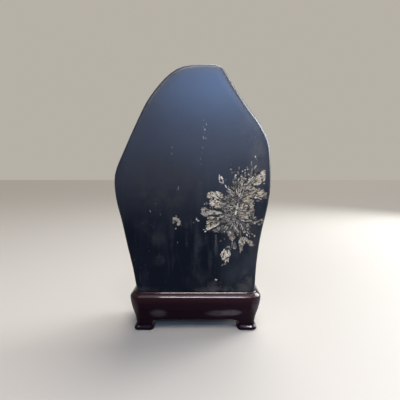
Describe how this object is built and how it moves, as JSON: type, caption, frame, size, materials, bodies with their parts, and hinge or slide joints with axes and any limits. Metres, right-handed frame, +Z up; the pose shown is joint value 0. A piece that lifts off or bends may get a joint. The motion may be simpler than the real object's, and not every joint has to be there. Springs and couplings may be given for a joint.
{
  "type": "chrysanthemum stone on a carved stand",
  "caption": "Upright slab of polished black stone with a pale crystal flower, set in a low carved wooden stand on scroll feet.",
  "frame": {"origin": "on the surface that the stand's feet rest on, in the middle of the whole object's extent in X and Y", "axes": "+Z up; the face of the stone that carries the flower looks along -Y; +X to the right as one looks at that face"},
  "size_m": [0.2073, 0.082, 0.3526],
  "materials": {
    "polished_black_stone": "satin",
    "rosewood": "gloss"
  },
  "bodies": {
    "root": {"stone": "polished_black_stone", "stand": "rosewood"}
  },
  "joints": []
}
